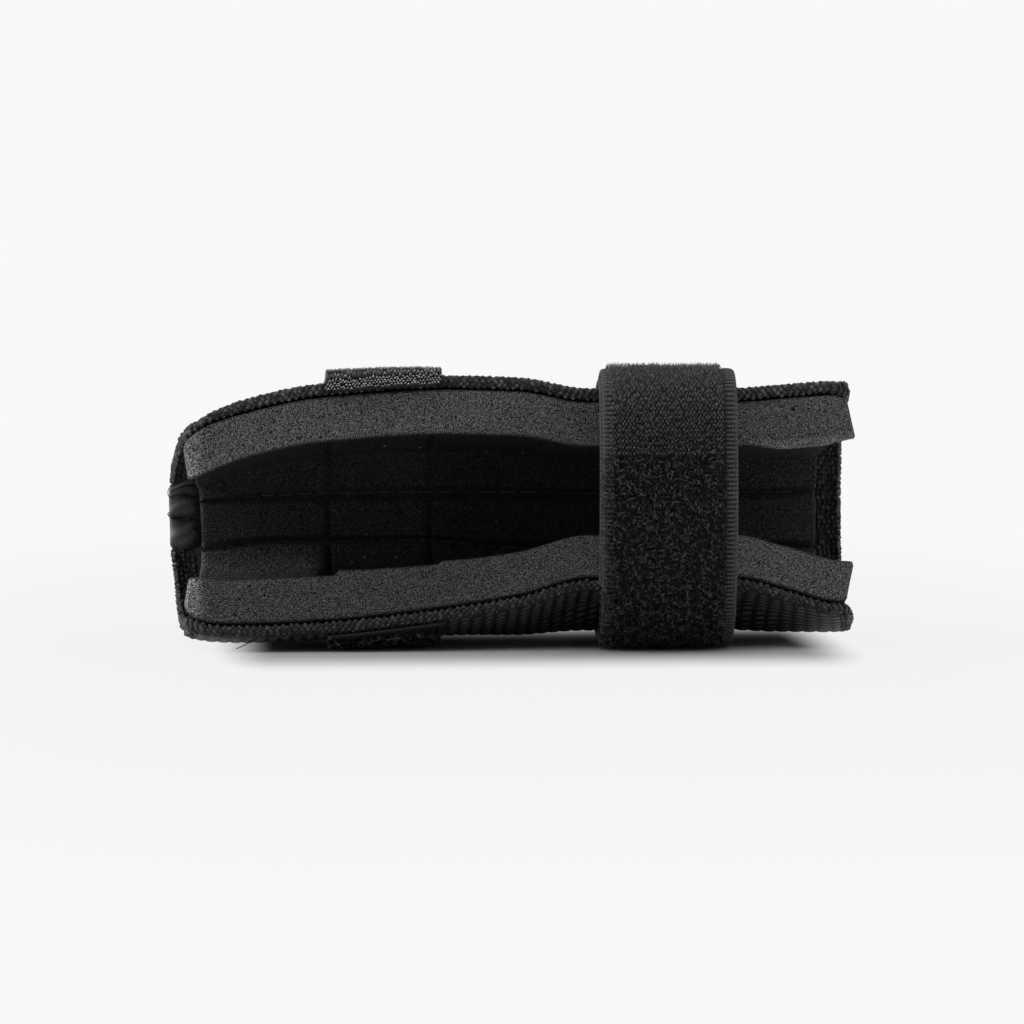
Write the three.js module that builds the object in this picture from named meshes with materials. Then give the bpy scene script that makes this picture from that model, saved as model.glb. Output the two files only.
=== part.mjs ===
// Finger support: a C-shaped splint that lies on its side with its mouth towards -Y.
// A thick woven webbing wall is lined with foam. A hook tab and a loop tab hug the
// outside near one end, and a wide hook-and-loop strap closes the other end.
// Millimetres, +X along the finger, +Y from the mouth to the back, +Z up.
import * as THREE from "three";

// Driving dimensions
const WEBBING = 1.6; // thickness of the woven wall
const FOAM = 6.2; // thickness of the lining
const GAP = 0.3; // clearance between neighbouring pieces
const FLOOR_Z = 0; // tapes are pressed flat here

// Half lengths at the lips and along the back, towards -X (left) and +X (right)
// `power` says how quickly an end changes from its lip to its back
const WALL_ENDS = {
  left: { lip: 45.6, back: 48.1, power: 1.1 },
  right: { lip: 45.6, back: 48.7, power: 2.4 },
};
const FOAM_ENDS = {
  left: { lip: 45.6, back: 43.7, power: 1.5 },
  right: { lip: 45.6, back: 44.2, power: 1.5 },
};
const STRAIGHT_HALF = 30; // nearer the middle than this no line is drawn out towards an end
const CURL_LENGTH = 3.4; // how much of each end the lip corners curl over
const CURL_DEPTH = 1.5; // how far the lip corners curl in
const CURL_SPANS = 1.6; // how many outline spans behind a lip the curl fades over

// Outline of the wall's outer face: eleven control points, from upper lip to lower lip
const SPINE_Y = 30; // outer face of the back
const SPINE_Z = 16.3; // middle of the back
const SLEEVE_HALF = 3.6; // half the height of the sewn channel along the back
const UPPER_MID_Y = 9.5;
const UPPER_REAR_Y = 18.5;
const BASE_REAR_Y = 19.5;
const BASE_FRONT_Y = 10.5;
const LOWER_MID_Y = 3.8;
const UPPER_MID_DROP = 1.1; // the upper leg's middle lies this much lower than its lip
const UPPER_REAR_DROP = 3.3; // and its rear this much lower
const CORNER = Math.SQRT1_2; // share of a corner's reach at its middle
const SPANS = 10; // spans between the eleven control points
const SLEEVE_SPANS = [4, 5]; // the two seams of the sewn channel run at these control points

// How the outline changes along the splint
const SECTIONS = [
  { x: -48.4, lipY: 0.6, lipZ: 30.8, baseZ: 2.1, lowMidZ: 2.4, lowLipY: -1.0, lowLipZ: 3.4 },
  { x: -45.0, lipY: 0.4, lipZ: 31.9, baseZ: 1.3, lowMidZ: 1.4, lowLipY: -1.2, lowLipZ: 2.5 },
  { x: -38.0, lipY: 0.2, lipZ: 34.7, baseZ: 1.1, lowMidZ: 1.0, lowLipY: -1.4, lowLipZ: 2.2 },
  { x: -27.5, lipY: 0.0, lipZ: 36.9, baseZ: 1.3, lowMidZ: 1.3, lowLipY: -1.6, lowLipZ: 2.6 },
  { x: -10.5, lipY: 0.0, lipZ: 38.0, baseZ: 1.3, lowMidZ: 2.1, lowLipY: -2.0, lowLipZ: 4.5 },
  { x: 0.0, lipY: 0.0, lipZ: 37.7, baseZ: 1.3, lowMidZ: 3.5, lowLipY: -2.0, lowLipZ: 6.2 },
  { x: 9.5, lipY: 0.0, lipZ: 36.2, baseZ: 2.0, lowMidZ: 6.2, lowLipY: -1.6, lowLipZ: 8.4 },
  { x: 30.0, lipY: 0.0, lipZ: 36.2, baseZ: 2.0, lowMidZ: 6.2, lowLipY: -1.6, lowLipZ: 8.4 },
  { x: 37.0, lipY: 0.0, lipZ: 36.7, baseZ: 1.6, lowMidZ: 4.5, lowLipY: -1.8, lowLipZ: 6.8 },
  { x: 45.0, lipY: 0.2, lipZ: 37.2, baseZ: 1.4, lowMidZ: 2.6, lowLipY: -1.8, lowLipZ: 4.6 },
  { x: 48.4, lipY: 0.4, lipZ: 37.2, baseZ: 1.6, lowMidZ: 2.6, lowLipY: -1.6, lowLipZ: 4.4 },
];

// Sewn grooves in the lining, and its squeezed bends
const SEAM_DEPTH = 1.1;
const SEAM_SPAN = 0.13; // half width of a groove along the back, in outline spans
const SEAM_HALF_WIDTH = 1.0; // half width of a groove across the lining
const SEAM_FADE = 0.8; // how many spans from a lip a groove across the lining fades out over
const TAB_SEAMS_X = [-25.6, -11.2];
const BENDS = [3, 6.4]; // where the outline turns from a leg into the back
const BEND_SPAN = 1.4; // how many spans the lining is squeezed over, either side of a bend
const BEND_SQUEEZE = 1.9; // how much thinner the lining is inside a bend

// Hook tab and loop tab, pressed round the outside of the wall
const TAB_X = -18.6;
const TAB_WIDTH = 16;
const TAB_SELVEDGE = 0.3; // bare edge of a tab's tape
const HOOK_TAB = { base: 0.6, pile: 0.7, from: 0, to: 4.46 };
const LOOP_TAB = { base: 0.6, pile: 0.6, from: 4.54, to: 9.97 };
const RIM_WRAP = 1.5; // how far the hook tab hangs over the upper rim

// Closing strap: one tape wound once round the splint and lapped over its own front and top
const STRAP_X = 20.2; // where it crosses the lips
const STRAP_WIDTH = 19;
const STRAP_SELVEDGE = 1.7;
const STRAP_BASE = 0.7;
const STRAP_PILE = 1.1;
const STRAP_PRESSED_PILE = 0.3; // pile height where another layer lies on it
const STRAP_SLACK = 0.2; // how loosely it lies on the wall
const STRAP_LAP = STRAP_BASE + STRAP_PRESSED_PILE + GAP;
const STRAP_DRIFT = 0.25; // how far the tape wanders along X in one turn
const STRAP_SKEW = 0.055; // how far it leans along X for each millimetre towards the back
const STRAP_FRONT = [
  { y: -4.4, z: 6.4 },
  { y: -7.3, z: 12.8 },
  { y: -8.2, z: 20.0 },
  { y: -7.2, z: 28.0 },
  { y: -4.3, z: 34.7 },
];
const STRAP_HUGGED_SPANS = [0.1, 1, 2, 3, 4, 5, 6, 6.9]; // where it lies on the wall
const STRAP_FLOOR = [
  { y: 13.0, z: 1.3 },
  { y: 6.5, z: 1.3 },
  { y: 0.4, z: 2.2 },
];
const STRAP_TURNS = { start: 0.03, end: 1.46 }; // turns counted from the low front
const STRAP_LIFT = { start: 0.9, end: 1.02 }; // where the tape climbs onto its own start
const STRAP_PRESSED = { start: 0.5, end: 0.6 }; // where its pile rises from under the lap

// Mesh density
const SPAN_STEPS = [2, 2, 4, 4, 3, 4, 4, 3, 3, 2]; // facets on each span of the outline
const LENGTH_STEPS = 18;
const CURL_LINES = [0.3, 0.65]; // extra lines across each curled end
const TAB_STEP_SPAN = 0.25;
const RIM_STEPS = 3;
const STRAP_STEPS = 76;

// The value of one column at x: a smooth curve through the rows that never overshoots them
function sectionValue(column, x) {
  const last = SECTIONS.length - 1;
  const at = THREE.MathUtils.clamp(x, SECTIONS[0].x, SECTIONS[last].x);
  let i = 0;
  while (i < last - 1 && at > SECTIONS[i + 1].x) i += 1;
  const slope = (k) => {
    const [from, to] = [SECTIONS[k], SECTIONS[k + 1]];
    return (to[column] - from[column]) / (to.x - from.x);
  };
  const tangent = (k) => {
    if (k === 0) return slope(0);
    if (k === last) return slope(last - 1);
    const before = slope(k - 1);
    const after = slope(k);
    return before * after <= 0 ? 0 : (2 * before * after) / (before + after);
  };
  const width = SECTIONS[i + 1].x - SECTIONS[i].x;
  const t = (at - SECTIONS[i].x) / width;
  const rise = 3 * t * t - 2 * t * t * t;
  const level = SECTIONS[i][column] * (1 - rise) + SECTIONS[i + 1][column] * rise;
  const leave = t * (1 - t) * (1 - t) * width * tangent(i);
  const arrive = t * t * (t - 1) * width * tangent(i + 1);
  return level + leave + arrive;
}

// Control points of the wall's outer face at x, as vectors of Y and Z
function outline(x) {
  const at = (column) => sectionValue(column, x);
  const upperZ = SPINE_Z + SLEEVE_HALF;
  const lowerZ = SPINE_Z - SLEEVE_HALF;
  const rearZ = at("lipZ") - UPPER_REAR_DROP;
  const upperCornerY = UPPER_REAR_Y + CORNER * (SPINE_Y - UPPER_REAR_Y);
  const lowerCornerY = BASE_REAR_Y + CORNER * (SPINE_Y - BASE_REAR_Y);
  return [
    new THREE.Vector2(at("lipY"), at("lipZ")),
    new THREE.Vector2(UPPER_MID_Y, at("lipZ") - UPPER_MID_DROP),
    new THREE.Vector2(UPPER_REAR_Y, rearZ),
    new THREE.Vector2(upperCornerY, upperZ + CORNER * (rearZ - upperZ)),
    new THREE.Vector2(SPINE_Y, upperZ),
    new THREE.Vector2(SPINE_Y, lowerZ),
    new THREE.Vector2(lowerCornerY, lowerZ + CORNER * (at("baseZ") - lowerZ)),
    new THREE.Vector2(BASE_REAR_Y, at("baseZ")),
    new THREE.Vector2(BASE_FRONT_Y, at("baseZ")),
    new THREE.Vector2(LOWER_MID_Y, at("lowMidZ")),
    new THREE.Vector2(at("lowLipY"), at("lowLipZ")),
  ];
}

// A point `depth` inside the wall's outer face, `span` spans along the outline at x
function wallPoint(x, span, depth) {
  const curve = new THREE.SplineCurve(outline(x));
  const point = curve.getPoint(span / SPANS);
  const tangent = curve.getTangent(span / SPANS);
  return new THREE.Vector3(x, point.x + tangent.y * depth, point.y - tangent.x * depth);
}

// Draws a line at x out towards the nearer end, which reaches further at some spans than at others
function drawnOut(x, span, ends) {
  const end = x < 0 ? ends.left : ends.right;
  const fromBack = Math.abs((2 * span) / SPANS - 1) ** end.power;
  const reach = THREE.MathUtils.lerp(end.back, end.lip, fromBack);
  const past = Math.max(0, Math.abs(x) - STRAIGHT_HALF) / (end.lip - STRAIGHT_HALF);
  return x + Math.sign(x) * past * (reach - end.lip);
}

// How far the wall is curled in near the four lip corners
function curl(x, span) {
  const start = WALL_ENDS.left.lip - CURL_LENGTH;
  const past = THREE.MathUtils.clamp((Math.abs(x) - start) / CURL_LENGTH, 0, 1);
  const fromLip = Math.min(span, SPANS - span) / CURL_SPANS;
  return CURL_DEPTH * past ** 2 * Math.max(0, 1 - fromLip);
}

// How deep the sewn grooves press into the lining
function seam(x, span) {
  const alongBack = SLEEVE_SPANS.map((at) => 1 - Math.abs(span - at) / SEAM_SPAN);
  const inside = THREE.MathUtils.smoothstep(Math.min(span, SPANS - span), 0, SEAM_FADE);
  const across = TAB_SEAMS_X.map((at) => inside * (1 - Math.abs(x - at) / SEAM_HALF_WIDTH));
  return SEAM_DEPTH * Math.max(0, ...alongBack, ...across);
}

// How much the lining is squeezed on the inside of the two bends
function squeeze(span) {
  const near = BENDS.map((at) => Math.max(0, 1 - Math.abs(span - at) / BEND_SPAN));
  return BEND_SQUEEZE * THREE.MathUtils.smoothstep(Math.max(...near), 0, 1);
}

// Numbers at equal steps, both ends included
function evenly(count, from, to) {
  return Array.from({ length: count + 1 }, (_, i) => from + ((to - from) * i) / count);
}

const ascending = (values) => [...new Set(values)].sort((a, b) => a - b);

// Triangles that fill a ring made of two facing rows of equal length, the second one reversed
function capTriangles(size) {
  const triangles = [];
  for (let k = 0; k + 1 < size / 2; k += 1) {
    const across = size - 1 - k;
    triangles.push([k, k + 1, across], [k + 1, across - 1, across]);
  }
  return triangles;
}

// A closed skin through rings of points, with a cap on the first ring and on the last
function skinRings(rings) {
  const size = rings[0].length;
  const position = rings.flat().flatMap((p) => [p.x, p.y, p.z]);
  const index = [];
  for (let r = 0; r + 1 < rings.length; r += 1) {
    for (let k = 0; k < size; k += 1) {
      const a = r * size + k;
      const b = r * size + ((k + 1) % size);
      index.push(a, a + size, b, b, a + size, b + size);
    }
  }
  const lastRing = (rings.length - 1) * size;
  for (const [a, b, c] of capTriangles(size)) {
    index.push(a, b, c);
    index.push(lastRing + a, lastRing + c, lastRing + b);
  }
  return new THREE.BufferGeometry()
    .setAttribute("position", new THREE.Float32BufferAttribute(position, 3))
    .setIndex(index);
}

// A wall between an outer and an inner face, each given as a function of span and line
function wallGeometry(spans, lines, outerFace, innerFace) {
  const rings = lines.map((line) => [
    ...spans.map((span) => outerFace(span, line)),
    ...[...spans].reverse().map((span) => innerFace(span, line)),
  ]);
  return skinRings(rings);
}

// Places on the outline that every line of the wall and of the lining passes through
const outlineSpans = [0, ...SPAN_STEPS.flatMap((count, span) => evenly(count, span, span + 1).slice(1))];

// Places along the splint that both walls are drawn at, closer together where the corners curl
function lengthLines() {
  const half = WALL_ENDS.left.lip;
  const curled = CURL_LINES.map((share) => half - CURL_LENGTH * (1 - share));
  const ends = [...curled, half].flatMap((x) => [-x, x]);
  return [...evenly(LENGTH_STEPS, -half + CURL_LENGTH, half - CURL_LENGTH), ...ends];
}

// Woven webbing wall
function webbingGeometry() {
  const face = (depth) => (span, x) =>
    wallPoint(drawnOut(x, span, WALL_ENDS), span, depth + curl(x, span));
  return wallGeometry(outlineSpans, ascending(lengthLines()), face(0), face(WEBBING));
}

// Foam lining, sewn in along the back and along both edges of the tabs
function foamGeometry() {
  const grooves = SLEEVE_SPANS.flatMap((at) => [at - SEAM_SPAN, at + SEAM_SPAN]);
  const spans = ascending([...outlineSpans, ...grooves]);
  const cross = TAB_SEAMS_X.flatMap((at) => [at - SEAM_HALF_WIDTH, at, at + SEAM_HALF_WIDTH]);
  const outer = (span, x) =>
    wallPoint(drawnOut(x, span, FOAM_ENDS), span, WEBBING + GAP + curl(x, span));
  const inner = (span, x) => {
    const thickness = FOAM - squeeze(span) - seam(x, span);
    return wallPoint(drawnOut(x, span, FOAM_ENDS), span, WEBBING + GAP + thickness);
  };
  return wallGeometry(spans, ascending([...lengthLines(), ...cross]), outer, inner);
}

// Cross-section of a tape: a flat base with a raised pile between two bare selvedges
function tapeProfile(width, selvedge, base, pile) {
  const half = width / 2;
  const under = [-half, -half + selvedge, half - selvedge, half];
  const over = [
    [half, base],
    [half - selvedge, base + pile],
    [-half + selvedge, base + pile],
    [-half, base],
  ];
  return [...under.map((across) => [across, 0]), ...over];
}

const pressFlat = (point) => point.setZ(Math.max(point.z, FLOOR_Z));

// A tab's tape laid on the wall's outer face between two places on the outline
function tabRings(tab) {
  const profile = tapeProfile(TAB_WIDTH, TAB_SELVEDGE, tab.base, tab.pile);
  const steps = Math.round((tab.to - tab.from) / TAB_STEP_SPAN);
  return evenly(steps, tab.from, tab.to).map((span) =>
    profile.map(([across, height]) => pressFlat(wallPoint(TAB_X + across, span, -GAP - height))),
  );
}

// The end of the hook tab, bent over the upper rim and hanging in front of it
function rimRings() {
  const profile = tapeProfile(TAB_WIDTH, TAB_SELVEDGE, HOOK_TAB.base, HOOK_TAB.pile);
  const angles = evenly(RIM_STEPS, Math.PI / 2, 0).slice(0, -1);
  const bent = (angle, drop) =>
    profile.map(([across, height]) => {
      const x = TAB_X + across;
      const rim = wallPoint(x, 0, 0);
      const out = wallPoint(x, 0, -1).sub(rim);
      const forward = new THREE.Vector3(0, -out.z, out.y);
      return rim
        .addScaledVector(out, Math.cos(angle) * (GAP + height) - drop)
        .addScaledVector(forward, Math.sin(angle) * (GAP + height));
    });
  return [bent(Math.PI / 2, RIM_WRAP), ...angles.map((angle) => bent(angle, 0))];
}

// One turn of the closing strap's inner face, as a closed loop in the plane of Y and Z
function strapLoop() {
  const given = ({ y, z }) => new THREE.Vector3(STRAP_X, y, z);
  return new THREE.CatmullRomCurve3(
    [
      ...STRAP_FRONT.map(given),
      ...STRAP_HUGGED_SPANS.map((span) => wallPoint(STRAP_X, span, -GAP - STRAP_SLACK)),
      ...STRAP_FLOOR.map(given),
    ],
    true,
  );
}

// Closing strap, wound outwards from under its own lap
function strapGeometry() {
  const loop = strapLoop();
  const rings = evenly(STRAP_STEPS, STRAP_TURNS.start, STRAP_TURNS.end).map((turn) => {
    const tangent = loop.getTangentAt(turn % 1);
    const out = new THREE.Vector3(0, -tangent.z, tangent.y);
    const lap = STRAP_LAP * THREE.MathUtils.smoothstep(turn, STRAP_LIFT.start, STRAP_LIFT.end);
    const risen = THREE.MathUtils.smoothstep(turn, STRAP_PRESSED.start, STRAP_PRESSED.end);
    const pile = THREE.MathUtils.lerp(STRAP_PRESSED_PILE, STRAP_PILE, risen);
    const centre = loop.getPointAt(turn % 1).addScaledVector(out, lap);
    const x = STRAP_X + STRAP_DRIFT * (turn - STRAP_TURNS.end / 2);
    return tapeProfile(STRAP_WIDTH, STRAP_SELVEDGE, STRAP_BASE, pile).map(([across, height]) => {
      const point = centre.clone().addScaledVector(out, height);
      return pressFlat(point.setX(x + across + STRAP_SKEW * centre.y));
    });
  });
  return skinRings(rings);
}

const fabric = (color, roughness) => new THREE.MeshStandardMaterial({ color, roughness, metalness: 0 });

function piece(name, geometry, material) {
  geometry.computeVertexNormals();
  const mesh = new THREE.Mesh(geometry, material);
  mesh.name = name;
  return mesh;
}

const support = new THREE.Group();
support.add(
  piece("webbing_wall", webbingGeometry(), fabric(0x1d1d1f, 0.85)),
  piece("foam_lining", foamGeometry(), fabric(0x3b3b3d, 0.95)),
  piece("hook_tab", skinRings([...rimRings(), ...tabRings(HOOK_TAB)]), fabric(0x464648, 0.6)),
  piece("loop_tab", skinRings(tabRings(LOOP_TAB)), fabric(0x161618, 0.95)),
  piece("closing_strap", strapGeometry(), fabric(0x28282a, 0.9)),
);

// The origin is the middle of the underside of the whole support
const middle = new THREE.Box3().setFromObject(support).getCenter(new THREE.Vector3());
for (const mesh of support.children) mesh.position.set(-middle.x, -middle.y, 0);

export default support;
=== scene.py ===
"""A foam-lined finger support: its cloth, foam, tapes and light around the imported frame.

Lengths are in millimetres, in the measure of the splint's own outline, until a mesh is made.
"""

import math

import bmesh
import bpy
import numpy as np
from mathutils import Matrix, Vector


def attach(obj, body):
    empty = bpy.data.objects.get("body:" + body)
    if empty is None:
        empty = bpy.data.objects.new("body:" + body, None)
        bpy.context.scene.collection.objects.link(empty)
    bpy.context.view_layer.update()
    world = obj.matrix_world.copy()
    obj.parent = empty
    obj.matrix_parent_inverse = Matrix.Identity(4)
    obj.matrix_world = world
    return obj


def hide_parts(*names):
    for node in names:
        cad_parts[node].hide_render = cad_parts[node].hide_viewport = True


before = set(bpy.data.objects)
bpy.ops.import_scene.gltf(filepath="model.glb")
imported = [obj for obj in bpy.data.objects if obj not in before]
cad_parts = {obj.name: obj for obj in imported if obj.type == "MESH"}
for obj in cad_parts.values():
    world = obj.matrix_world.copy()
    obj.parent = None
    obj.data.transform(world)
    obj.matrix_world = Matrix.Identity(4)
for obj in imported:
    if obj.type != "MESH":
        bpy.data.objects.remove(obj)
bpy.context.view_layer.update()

MM = 0.001  # a millimetre in metres
ORIGIN = np.array([0.3, 10.6593, 0.0])  # the frame's origin in the outline's measure
RANDOM = np.random.default_rng(20)

# Walls
WEBBING = 1.6
FOAM = 6.2
GAP = 0.3
SPANS = 10
WALL_ENDS = {"left": (48.1, 1.1, 0.65), "right": (48.7, 2.4, 0.0)}  # reach of the back, power, skew
FOAM_ENDS = {"left": (43.7, 1.5, 0.0), "right": (44.2, 1.5, 0.0)}
SKEW_UPPER = (0.0, 1.5, 5.2, 1.5)  # first span, rise, last span, fall
SKEW_LOWER = (5.0, 0.8, 9.5, 2.0)
LIP_HALF = 45.6
STRAIGHT_HALF = 30.0
CURL_LENGTH = 3.4
CURL_DEPTH = {"left": 1.5, "right": 0.7}
CURL_SPANS = 1.6
ROLL = 0.7  # how far the two ends roll in
ROLL_LENGTH = 2.4
ROLL_FROM = 0.4  # in spans from a lip

# Outline of the wall's outer face
SPINE_Y = 30.0
SPINE_Z = 16.3
SLEEVE_HALF = 3.6
UPPER_MID_Y = 9.5
UPPER_REAR_Y = 18.5
BASE_REAR_Y = 19.5
BASE_FRONT_Y = 10.5
LOWER_MID_Y = 3.8
UPPER_MID_DROP = 1.1
UPPER_REAR_DROP = 3.3
CORNER = math.sqrt(0.5)
SECTIONS = np.array([  # x, upper lip's Y and Z, Z of the base and the lower leg, lower lip's Y and Z
    (-48.4, 0.6, 30.8, 2.1, 2.4, -1.0, 3.4),
    (-45.0, 0.4, 31.9, 1.3, 1.4, -1.2, 2.5),
    (-38.0, 0.2, 34.7, 1.1, 1.0, -1.4, 2.2),
    (-27.5, 0.0, 36.9, 1.3, 1.3, -1.6, 2.6),
    (-10.5, 0.0, 38.0, 1.3, 2.1, -2.0, 4.5),
    (0.0, 0.0, 37.7, 1.3, 3.5, -2.0, 6.2),
    (9.5, 0.0, 36.2, 2.0, 6.2, -1.6, 8.4),
    (30.0, 0.0, 36.2, 2.0, 6.2, -1.6, 8.4),
    (37.0, 0.0, 36.7, 1.6, 4.5, -1.8, 6.8),
    (45.0, 0.2, 37.2, 1.4, 2.6, -1.8, 4.6),
    (48.4, 0.4, 37.2, 1.6, 2.6, -1.6, 4.4),
])

# Seams and squeezed bends of the lining
SEAM_SPANS = (3.8, 5.2)
SEAM_DEPTH = 1.4
SEAM_WIDTH = 0.11  # in spans
SEAM_RISE = 0.15  # in spans, of the lower seam left of the middle
SEAM_ARCH = (-46.0, 12.0, 2.0, 14.0)  # first x, rise, last x, fall
CROSS_SEAMS_X = (-25.6, -11.2)
CROSS_SEAM_DEPTH = 0.55
CROSS_SEAM_WIDTH = 0.8
CROSS_SEAM_FADE = 0.8
SEAM_SIDE = 2.5  # how far the swelling left of the first one takes to grow
BENDS = (3.0, 6.4)
BEND_SPAN = 1.4
BEND_SQUEEZE = 1.9
PUFFS = ((0.75, 9.0), (0.5, 7.0))  # swelling right of each cross seam, and its length
PUFF_RISE = 0.9
PUFF_SPANS = (7.5, 1.5)  # first span, rise
FLOOR_SWELL = 1.7  # of the lower bend, left of the first cross seam
SWELL_SPANS = (6.3, 1.0)  # middle, half width
UNDERCUT = 1.3  # how far the upper leg's foam thins behind its lip
UNDERCUT_SPANS = (0.15, 0.7, 2.6, 0.9)
FLARE = {"left": 0.5, "right": 1.0}  # how far a lip's outer or inner edge stands out at that end
FLARE_LENGTH = 5.0
FOAM_ROUND = {"left": 0.7, "right": 0.4}
FOAM_LIP_ROUND = 0.4
PRESSED_DROP = 0.85  # of the upper lip's inner edge near the right end
PRESSED_X = (31.0, 6.0, LIP_HALF, 4.0)
PRESSED_SPANS = 0.6
BEVEL = (0.68, 0.16)  # where that edge begins across the lip, and its rise
BEVEL_BACK = 0.7
FOAM_MARGIN = 0.8  # between a lip and the first station
FOAM_STATIONS = 78
FOAM_LINES = 130
GROOVE_STEPS = (-2.2, 1.3, 18)  # stations beside a seam: first, last, count
CROSS_STEPS = (-1.2, 1.2, 13)

# Tones of the lining, 1 where it was cut and lower on the faces; painted light and painted shade are marked
FACE_PAINTED_SHADE_SHARE = 0.28  # of a face's grey against a cut's: a painted shade that darkens the faces of the hollow
CUT_SPANS = 1.4  # how far from the lips the ends are cut
END_TONE = 1.1
END_INSET = 0.3
# painted shade: the lower lip darker towards its left end
LOWER_LIP_PAINTED_SHADE = 0.4
LOWER_SHADE_X = (30.0, 45.0)  # where that shade begins, and over what length it grows
LEFT_END_PAINTED_LIGHT = (1.2, 3.6)  # how much paler the upper and lower lips are at the left end: painted light from the left
LEFT_END_LIGHT_X = (2.4, 1.2)  # how wide that strip of painted light is, and its fade
# painted light on the pressed inner edge of the upper lip near the right end
PRESSED_EDGE_PAINTED_LIGHT = 0.9
PRESSED_EDGE_LIGHT_GAIN = 1.7
HOLLOW_FLOOR_PAINTED_LIGHT = 1.1  # painted light on the floor of the hollow left of the first cross seam
FLOOR_SPANS = (4.95, 0.8, 7.5, 1.8)  # first span, rise, last span, fall
DEEP_PAINTED_SHADE = 0.13  # painted shade: how much darker the middle of the hollow is
DEEP_SPANS = (1.5, 1.0, 8.0, 1.0)
DEEP_X = (-14.0, 8.0, 34.0, 8.0)

# Weave of the webbing
RIB = 1.65
RIBS_ASIDE = 28
LINES_PER_RIB = 4
RIB_HEIGHT = 0.05
FLOAT_STEPS = (0.0, 0.55, 1.0, 0.95, 0.5)  # relief over one float
FLOAT_LEVEL = 0.6
FLOAT_HEIGHT = 0.24
FLOAT_SLANT = 0.9
WEAVE_TONES = (0.03, 0.75, 0.3)  # between ribs, on a float, on a plain face: darker down in the weave, a painted shade
FACE_MARGIN = 1.0
OUTER_STATIONS = 313
INNER_STATIONS = 70
OUTER_PER_INNER = 4
WALL_ROUND = 0.75
CORNER_ROUND = 2.2  # of the four lip corners
THIN_CORNER = 0.6  # how much thinner the webbing is at its upper left corner
THIN_LENGTH = 8.0
RIM_ROWS = (  # turn towards the foam, half length and lean of a bead, thickness, pitch
    (62, 22, 0.18, 0.3, 1.0),
    (27, 18, -0.24, 0.26, 0.86),
    (-6, 18, 0.24, 0.24, 0.86),
    (-40, 18, -0.24, 0.23, 0.9),
    (-72, 16, 0.24, 0.21, 0.9),
)
RIM_MARGIN = 1.0
BEAD_SIZES = (0.75, 1.2)
BEAD_DISORDER = 0.08
BEAD_TAPER = 1.2
CORNER_BEADS = (6.0, 29.0, 52.0, 75.0)  # degrees round a corner
RIM_SHADES = (1.0, 0.55)  # of the upper and lower lip
KNOB_ROWS = (  # distance from an end, outer face 0 or inner face 1
    (0.4, 1), (0.95, 1), (1.5, 1), (2.05, 1), (2.6, 1), (0.55, 0), (1.15, 0),
)
KNOB = 0.32
KNOB_SIZES = (0.6, 1.2)
KNOB_PITCH = 0.8
KNOB_HALF = 0.3
KNOB_LEAN = 0.15
KNOB_DISORDER = 0.12
KNOB_CLEAR = 0.6  # spans beside a lip with no inner knobs
KNOB_SHADE = 0.5

# Pocket at the left end of the back, and threads
POCKET_X = (-45.7, -41.3)
POCKET_GRID = (14, 17)
POCKET_SINK = 0.4
POCKET_FADE = 1.6  # power of the painted shade's fade to the right
RIPPLE = 0.15
RIPPLE_WAVES = (9, 13)  # across and along a fold
FOLD_SWAY = 0.04
POCKET_FOLDS = (  # first span, last span, height, tone
    (3.55, 3.7, 0.3, 0.9),
    (3.69, 3.92, 0.32, 0.5),
    (3.91, 4.46, 0.45, 0.85),
    (4.46, 5.08, 0.55, 1.0),
)
STITCH_PITCH = 2.9
STITCH_HALF = 1.1
STITCH_RISE = 0.2
STITCH_SINK = 0.05
STITCH_RADIUS = 0.13
STITCHED_HALF = 42.0
TAB_CLEAR = 1.4  # how far the stitches stay from the tabs
STRAP_CLEAR = 1.6
FRAYS = ((3.62, 4.04, 0.5), (4.3, 4.45, 0.55), (4.33, 4.47, 0.4), (2.3, 2.42, 0.35))  # spans, reach
STRAYS = (  # x, span, reach to the left or right, reach to the front, drop
    (-36.4, 9.3, -2.6, 1.3, 1.2),
    (-9.3, 9.2, -2.4, 1.1, 1.7),
    (-31.5, 9.6, 1.4, 0.6, 0.9),
)
STRAY_RADIUS = 0.07
STRAY_ROOT = 0.2
LINT_COUNT = 50
LINT_X = 41.0
LINT_SPANS = (2.0, 9.7)
LINT_LENGTHS = (0.15, 0.55)
LINT_RADIUS = 0.038
LINT_BEND = 1.2
LINT_RISE = 0.05
TUBE_UP = np.array([0.31, 0.52, 0.79])  # any way that no tube runs along
THREAD_SIDES = 5

# Tapes
FIBRE_UP = np.array([0.23, 0.61, 0.76])
FIBRE_SIDES = 3
FIBRE_POINTS = 5
ARCH_POWER = 1.4
# painted shade at a hook's feet and painted light at its top
HOOK_FOOT_PAINTED_SHADE = 0.02
HOOK_TONE_POWER = 5
LOOP_BEND = 1.8
LOOP_LOW = (0.0, 0.35)
LOOP_PEAK = (0.35, 1.0)
# loops darker low in the pile: partly painted shade, partly darker yarn
LOOP_TONE_POWER = 6
LOOP_OVERHANG = 0.4
TAPE_COLUMN = 0.42  # pitch of the weave across a tape
TAPE_FADE = (-0.1, 0.2)  # how far its ground and its rows take to change
TAPE_RELIEF = (0.35, 0.36)  # share of its columns against its rows, and of both
GROUND_SHADE = 0.18
GROUND_DROP = 0.15
TAPE_EDGES = (0.1, 0.35, 0.9)  # columns of points beside a tape's edge
GROUND_EDGES = (-0.1, 0.4)  # and beside its ground's edge
GROUND_INSET = 4.0
TAPE_CHAMFER = (0.2, 0.15)  # of its upper and lower edge
PLAIN_DROP = 0.6
TAPE_RISE = 0.3
PLAIN_SHARE = 0.3  # of the rows left on a plain edge

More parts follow.
